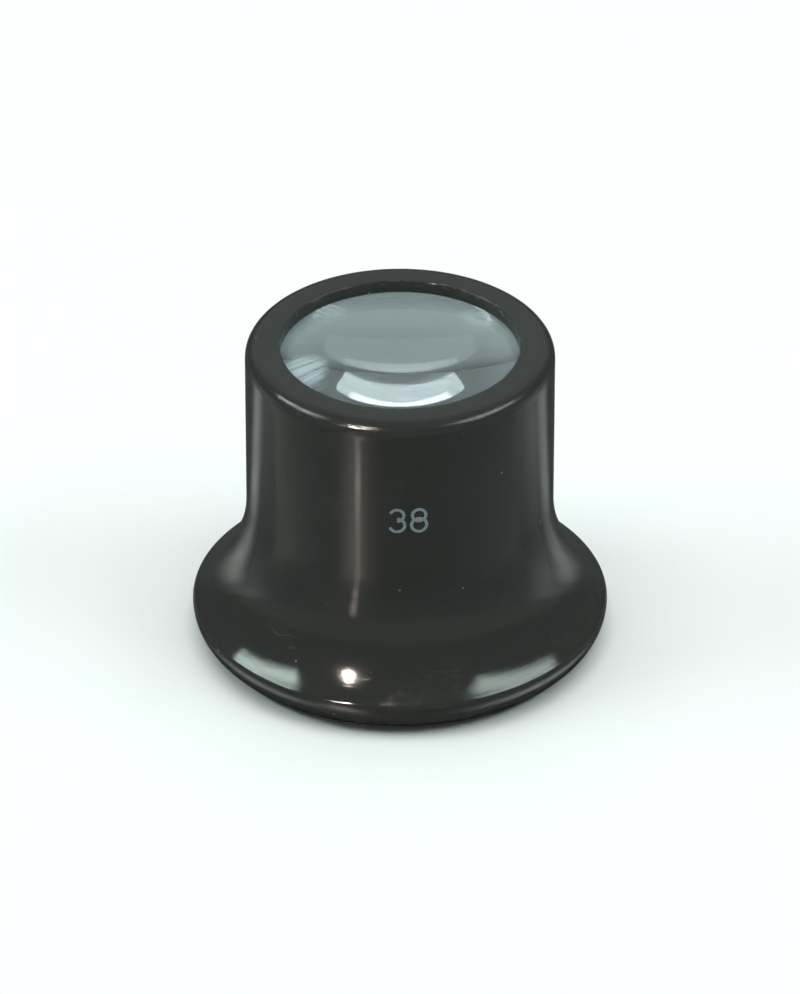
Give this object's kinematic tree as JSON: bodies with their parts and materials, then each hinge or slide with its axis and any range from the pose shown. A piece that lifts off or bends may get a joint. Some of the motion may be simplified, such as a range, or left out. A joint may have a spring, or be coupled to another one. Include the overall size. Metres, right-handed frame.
{
  "type": "eye loupe",
  "caption": "Watchmaker's eye loupe: a black barrel with a flared eye cup, a biconvex lens recessed in its top rim, and a threaded ring that holds the lens.",
  "frame": {"origin": "centre of the flat ring that the eye cup rests on", "axes": "+Z along the lens's optical axis, from the eye cup up to the lens; the object is round about Z"},
  "size_m": [0.036, 0.036, 0.0288],
  "materials": {
    "black_plastic": "polished",
    "lens_glass": "polished",
    "ring_plastic": "turned"
  },
  "bodies": {
    "housing": {"housing": "black_plastic"},
    "lens": {"lens": "lens_glass"},
    "retaining_ring": {"retaining_ring": "ring_plastic"}
  },
  "joints": [
    {"name": "lens_drop", "type": "slide", "parent": "housing", "child": "lens", "axis": [0, 0, -1], "range_m": [0, 0.00225]},
    {"name": "ring_turn", "type": "hinge", "parent": "lens", "child": "retaining_ring", "pos_m": [0, 0, 0.024], "axis": [0, 0, -1], "range_deg": [0, 1080]}
  ],
  "couplings": [
    {"joint": "ring_turn", "follows": "lens_drop", "rad_per_m": 8377.5}
  ]
}
